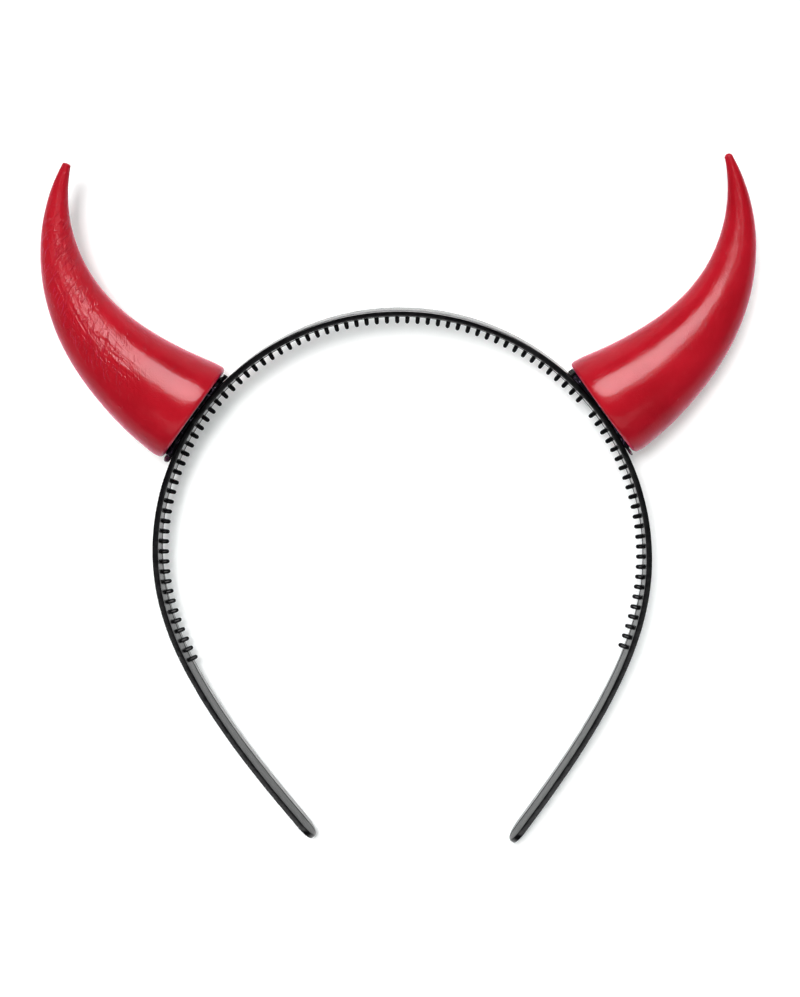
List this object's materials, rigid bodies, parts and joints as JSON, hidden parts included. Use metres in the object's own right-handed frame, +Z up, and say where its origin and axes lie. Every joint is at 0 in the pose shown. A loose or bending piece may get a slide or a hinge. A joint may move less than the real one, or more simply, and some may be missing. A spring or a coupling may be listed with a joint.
{
  "type": "devil horns headband",
  "caption": "Black comb headband with two curved hollow devil horns glued to its outer face.",
  "frame": {"origin": "centre of the bounding box's bottom, on the surface that the headband lies on", "axes": "+X across the head, towards the horn at the right of the picture; +Y from the leg ends towards the crown; +Z up, out of the surface, along the width of the band"},
  "size_m": [0.1754, 0.1738, 0.0277],
  "materials": {
    "black_plastic": "glossy black moulded plastic with a fine parting line along its inner ridge",
    "red_plastic": "glossy red moulded plastic with fine orange peel, small scuffs and brush-like scratches",
    "black_seat": "semi-gloss black, uneven where it meets the glue",
    "glue": "glossy hardened glue, dark with a purple cast"
  },
  "bodies": {
    "root": {"headband": "black_plastic", "horn_left": "red_plastic", "horn_right": "red_plastic", "seat_left": "black_seat", "seat_right": "black_seat", "glue_left": "glue", "glue_right": "glue"}
  },
  "joints": []
}
